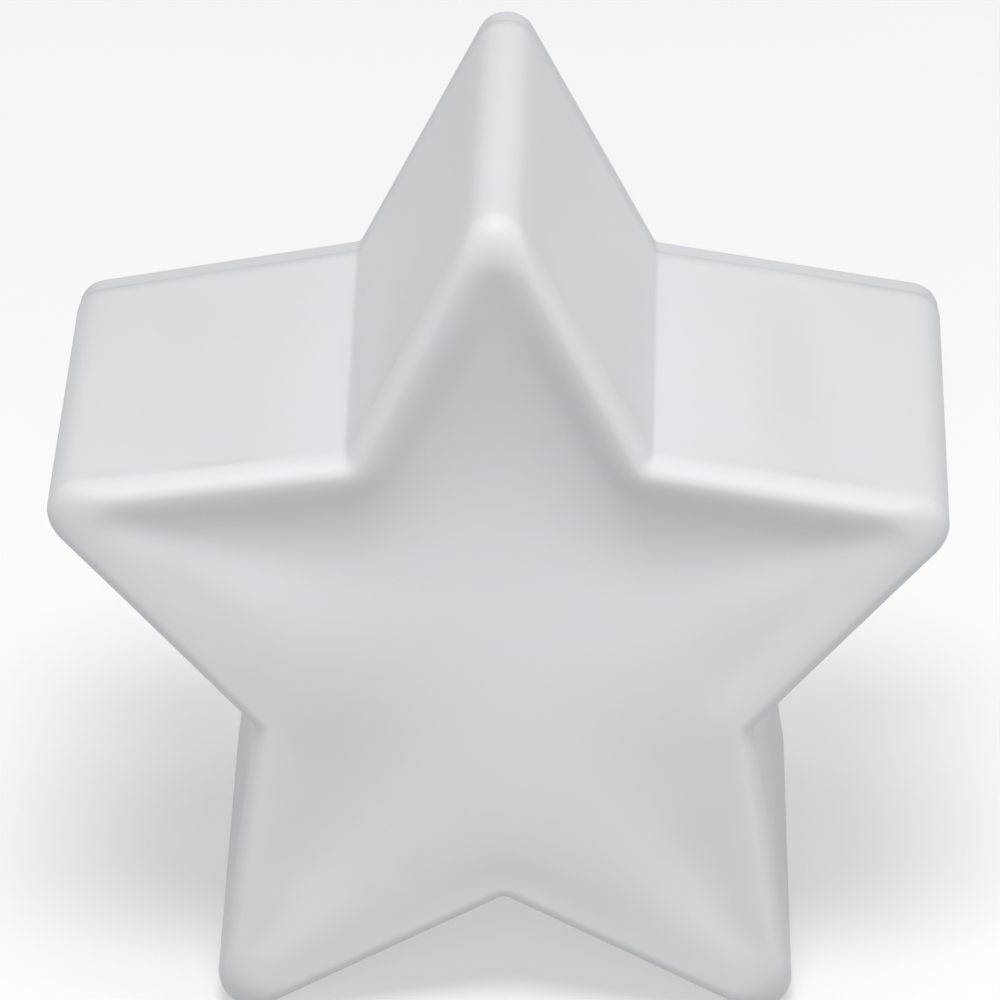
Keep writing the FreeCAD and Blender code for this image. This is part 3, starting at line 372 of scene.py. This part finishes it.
def pillars_mesh():
    """Five tubes inside the notches, which the cover's screws bite into."""
    sides = PILLAR_SIDES
    points, faces = [], []
    rows = (
        (PILLAR_RADIUS, BACK - PILLAR_LENGTH),
        (PILLAR_RADIUS, BACK),
        (PILOT_RADIUS, BACK),
        (PILOT_RADIUS, BACK - PILLAR_LENGTH),
    )
    for point in range(POINTS):
        axis = PILLAR_REACH * direction(math.pi / 2 - STEP - 2 * STEP * point)
        base = len(points)
        for radius, depth in rows:
            for index in range(sides):
                spoke = axis + radius * direction(2 * math.pi * index / sides)
                points.append((spoke.x, depth, spoke.y + CENTRE_HEIGHT))
        for row in range(len(rows)):
            low, high = base + row * sides, base + (row + 1) % len(rows) * sides
            for index in range(sides):
                after = (index + 1) % sides
                faces.append((low + index, high + index, high + after, low + after))
    mesh = bpy.data.meshes.new("shell_pillars")
    mesh.from_pydata(points, [], faces)
    mesh.validate()
    return mesh


# Materials

NOISE_SPAN = (0.3, 0.7)  # most of a noise texture's values lie between these


class Finish:
    """A principled material with object-space noise for its colour, roughness and relief."""

    def __init__(self, name, colour, roughness, **sockets):
        self.material = bpy.data.materials.new(name)
        self.material.use_nodes = True
        self.nodes = self.material.node_tree.nodes
        self.links = self.material.node_tree.links
        self.shader = next(node for node in self.nodes if node.type == "BSDF_PRINCIPLED")
        self.colour = (*colour, 1.0)
        self.set("Base Color", self.colour)
        self.set("Roughness", roughness)
        for socket, value in sockets.items():
            self.set(socket.replace("_", " "), value)
        self.place = self.nodes.new("ShaderNodeTexCoord").outputs["Object"]

    def set(self, socket, value):
        self.shader.inputs[socket].default_value = value

    def noise(self, scale, detail, stretch=(1, 1, 1)):
        mapping = self.nodes.new("ShaderNodeMapping")
        mapping.inputs["Scale"].default_value = stretch
        self.links.new(self.place, mapping.inputs["Vector"])
        texture = self.nodes.new("ShaderNodeTexNoise")
        texture.inputs["Scale"].default_value = scale
        texture.inputs["Detail"].default_value = detail
        self.links.new(mapping.outputs["Vector"], texture.inputs["Vector"])
        return texture.outputs["Fac"]

    def remap(self, factor, low, high):
        """Stretches a noise so that it runs from a low to a high value."""
        scale = self.nodes.new("ShaderNodeMapRange")
        least, most = NOISE_SPAN
        scale.inputs["From Min"].default_value = least
        scale.inputs["From Max"].default_value = most
        scale.inputs["To Min"].default_value = low
        scale.inputs["To Max"].default_value = high
        self.links.new(factor, scale.inputs["Value"])
        return scale.outputs["Result"]

    def mottle(self, factor, amount):
        """Darkens and lightens the colour a little, by a noise."""
        mix = self.nodes.new("ShaderNodeMix")
        mix.data_type = "RGBA"
        colours = [socket for socket in mix.inputs if socket.type == "RGBA"]
        for socket, level in zip(colours, (1 - amount, 1 + amount)):
            shade = [min(channel * level, 1.0) for channel in self.colour[:3]]
            socket.default_value = (*shade, 1.0)
        result = next(socket for socket in mix.outputs if socket.type == "RGBA")
        self.links.new(self.remap(factor, 0.0, 1.0), mix.inputs["Factor"])
        self.links.new(result, self.shader.inputs["Base Color"])

    def scuff(self, factor, low, high):
        """Lets the roughness wander between two values."""
        self.links.new(self.remap(factor, low, high), self.shader.inputs["Roughness"])

    def relief(self, factor, distance):
        """Adds a bump of a real height."""
        bump = self.nodes.new("ShaderNodeBump")
        bump.inputs["Strength"].default_value = 1.0
        bump.inputs["Distance"].default_value = distance
        self.links.new(factor, bump.inputs["Height"])
        self.links.new(bump.outputs["Normal"], self.shader.inputs["Normal"])


def moulded_plastic(name, colour, roughness, **sockets):
    finish = Finish(name, colour, roughness, **sockets)
    finish.mottle(finish.noise(scale=18, detail=4), amount=0.012)
    finish.scuff(finish.noise(scale=60, detail=5), low=roughness * 0.92, high=roughness * 1.1)
    finish.relief(finish.noise(scale=1500, detail=2), distance=0.006 * MM)
    return finish.material


def sheet_metal(name, colour, roughness, stretch=(1, 1, 12)):
    finish = Finish(name, colour, roughness, Metallic=1.0)
    brushed = finish.noise(scale=900, detail=3, stretch=stretch)
    finish.mottle(finish.noise(scale=300, detail=3), amount=0.04)
    finish.scuff(brushed, low=roughness * 0.8, high=roughness * 1.3)
    finish.relief(finish.noise(scale=2200, detail=2, stretch=stretch), distance=0.003 * MM)
    return finish.material


def shell_plastic():
    """Thin white polyethylene: satin, a little see-through, with a faint cloudiness."""
    finish = Finish(
        "shell_plastic",
        (0.87, 0.895, 0.92),
        0.42,
        Subsurface_Weight=0.35,
        Subsurface_Radius=(1.0, 0.95, 0.9),
        Subsurface_Scale=3.0 * MM,
        IOR=1.5,
    )
    finish.mottle(finish.noise(scale=9, detail=3), amount=0.012)
    finish.scuff(finish.noise(scale=24, detail=4), low=0.38, high=0.48)
    finish.relief(finish.noise(scale=900, detail=3), distance=0.008 * MM)
    return finish.material


def cell_sleeve(name, nub_side):
    """A plain cell: steel ends, a copper-coloured band at the nub's end and a dark sleeve."""
    steel, copper, sleeve = (0.6, 0.6, 0.6, 1), (0.52, 0.27, 0.14, 1), (0.03, 0.035, 0.045, 1)
    finish = Finish(name, sleeve[:3], 0.3, Metallic=0.55, Coat_Weight=0.4)
    axes = finish.nodes.new("ShaderNodeSeparateXYZ")
    finish.links.new(finish.place, axes.inputs["Vector"])
    along = finish.nodes.new("ShaderNodeMapRange")
    along.inputs["From Min"].default_value = CELL_NUB_REACH * nub_side
    along.inputs["From Max"].default_value = -CELL_NUB_REACH * nub_side
    finish.links.new(axes.outputs["X"], along.inputs["Value"])
    bands = finish.nodes.new("ShaderNodeValToRGB")
    bands.color_ramp.interpolation = "CONSTANT"
    stops = ((0.0, steel), (0.034, copper), (0.25, sleeve), (0.882, steel))
    for index, (place, colour) in enumerate(stops):
        stop = bands.color_ramp.elements[index] if index < 2 else bands.color_ramp.elements.new(place)
        stop.position = place
        stop.color = colour
    finish.links.new(along.outputs["Result"], bands.inputs["Fac"])
    finish.links.new(bands.outputs["Color"], finish.shader.inputs["Base Color"])
    finish.scuff(finish.noise(scale=400, detail=3), low=0.24, high=0.36)
    return finish.material


NODE_FINISHES = {
    "cover_plastic": ("rear_cover",),
    "door_plastic": ("battery_door",),
    "control_plastic": ("switch_knob", "push_button"),
    "screw_steel": ("cover_screws", "board_screws"),
    "cell_sleeve": ("battery_cell_1", "battery_cell_3"),
    "turned_cell_sleeve": ("battery_cell_2",),
    "contact_steel": ("positive_contact", "negative_contact", "left_bridge_contact", "right_bridge_contact"),
    "spring_steel": ("contact_springs",),
    "board_laminate": ("circuit_board",),
    "led_case": ("led_packages",),
    "led_phosphor": ("led_windows",),
    "diffuser_plastic": ("led_diffuser",),
    "black_resin": ("controller_chip", "slide_switch_stem", "tact_switch_plunger", "chip_resistors"),
    "tinned_metal": ("controller_pins", "solder_joints"),
    "capacitor_can": ("buffer_capacitor",),
    "switch_can_steel": ("slide_switch_can", "tact_switch_body"),
    "red_vinyl": ("red_lead",),
    "black_vinyl": ("black_lead",),
}


def make_finishes():
    return {
        "cover_plastic": moulded_plastic("cover_plastic", (0.78, 0.80, 0.825), 0.4),
        "door_plastic": moulded_plastic("door_plastic", (0.78, 0.80, 0.825), 0.38),
        "control_plastic": moulded_plastic("control_plastic", (0.42, 0.44, 0.47), 0.45),
        "screw_steel": sheet_metal("screw_steel", (0.55, 0.55, 0.56), 0.3),
        "cell_sleeve": cell_sleeve("cell_sleeve", -1),
        "turned_cell_sleeve": cell_sleeve("turned_cell_sleeve", 1),
        "contact_steel": sheet_metal("contact_steel", (0.74, 0.73, 0.70), 0.24),
        "spring_steel": sheet_metal("spring_steel", (0.66, 0.66, 0.66), 0.26, (8, 1, 1)),
        "board_laminate": moulded_plastic("board_laminate", (0.70, 0.73, 0.68), 0.35),
        "led_case": moulded_plastic("led_case", (0.80, 0.80, 0.78), 0.4),
        "led_phosphor": moulded_plastic("led_phosphor", (0.80, 0.55, 0.08), 0.35),
        "diffuser_plastic": moulded_plastic(
            "diffuser_plastic",
            (0.85, 0.86, 0.86),
            0.4,
            Subsurface_Weight=0.5,
            Subsurface_Scale=2.0 * MM,
        ),
        "black_resin": moulded_plastic("black_resin", (0.02, 0.02, 0.022), 0.5),
        "tinned_metal": sheet_metal("tinned_metal", (0.68, 0.68, 0.69), 0.3),
        "capacitor_can": moulded_plastic("capacitor_can", (0.02, 0.03, 0.06), 0.3),
        "switch_can_steel": sheet_metal("switch_can_steel", (0.58, 0.58, 0.58), 0.3),
        "red_vinyl": moulded_plastic("red_vinyl", (0.45, 0.02, 0.015), 0.38),
        "black_vinyl": moulded_plastic("black_vinyl", (0.015, 0.015, 0.017), 0.38),
    }


def finish_nodes():
    finishes = make_finishes()
    for slot, nodes in NODE_FINISHES.items():
        for node in nodes:
            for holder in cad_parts[node].material_slots:
                holder.material = finishes[slot]


# The studio


FLOOR_SIZE = 40.0


def make_floor():
    bpy.ops.mesh.primitive_plane_add(size=FLOOR_SIZE, location=(0, 0, 0))
    floor = bpy.context.object
    floor.name = "studio_floor"
    white = (1, 1, 1, 1)
    paper = Finish("floor_paper", (0.93, 0.93, 0.93), 0.9, Emission_Color=white, Emission_Strength=0.22)
    floor.data.materials.append(paper.material)
    floor.visible_diffuse = False  # no bounce: the star is lit from above and in front only


def make_world():
    world = bpy.data.worlds.new("studio_air")
    world.use_nodes = True
    background = next(node for node in world.node_tree.nodes if node.type == "BACKGROUND")
    background.inputs["Color"].default_value = (0.97, 0.985, 1.0, 1.0)
    background.inputs["Strength"].default_value = 0.395
    bpy.context.scene.world = world


def add_light(name, place, size, watts):
    lamp = bpy.data.lights.new(name, "AREA")
    lamp.shape = "DISK"
    lamp.size = size
    lamp.energy = watts
    light = bpy.data.objects.new(name, lamp)
    light.location = place
    toward_star = Vector((0, 0, CENTRE_HEIGHT)) - Vector(place)
    light.rotation_euler = toward_star.to_track_quat("-Z", "Y").to_euler()
    bpy.context.scene.collection.objects.link(light)


def make_camera():
    """Looks down on the star's front from a long way off, with a long lens."""
    pitch = math.radians(25.12)
    swing = math.radians(-1.5)
    roll = math.radians(-0.4)
    middle = Vector((0, 0, CENTRE_HEIGHT))
    away = 18.56 * STAR_RADIUS
    slide_right = 0.006 * STAR_RADIUS
    slide_up = -0.0927 * STAR_RADIUS
    forward = Vector(
        (math.sin(swing) * math.cos(pitch), math.cos(swing) * math.cos(pitch), -math.sin(pitch))
    )
    level = forward.cross(Vector((0, 0, 1))).normalized()
    upright = level.cross(forward)
    right = level * math.cos(roll) + upright * math.sin(roll)
    up = upright * math.cos(roll) - level * math.sin(roll)
    data = bpy.data.cameras.new("camera")
    data.sensor_width = 36.0
    data.lens = 332.5
    data.clip_start = 0.1
    camera = bpy.data.objects.new("camera", data)
    place = middle - forward * away - right * slide_right - up * slide_up
    turned = Matrix((right, up, -forward)).transposed().to_4x4()
    camera.matrix_world = Matrix.Translation(place) @ turned
    bpy.context.scene.collection.objects.link(camera)
    bpy.context.scene.camera = camera


def make_studio():
    bpy.context.scene.view_settings.view_transform = "Standard"
    make_floor()
    make_world()
    add_light("overhead", (0.0, 0.1, 1.5), 0.9, 2.4)
    add_light("key", (0.0, -0.6, 1.5), 0.7, 8.2)
    add_light("front_fill", (0.0, -1.4, 0.7), 0.7, 3.2)
    add_light("right_fill", (1.4, -0.3, 0.9), 0.7, 1.8)
    add_light("left_fill", (-1.4, -0.3, 0.9), 0.7, 0.4)
    make_camera()


make_studio()
make_shell(shell_plastic())
finish_nodes()
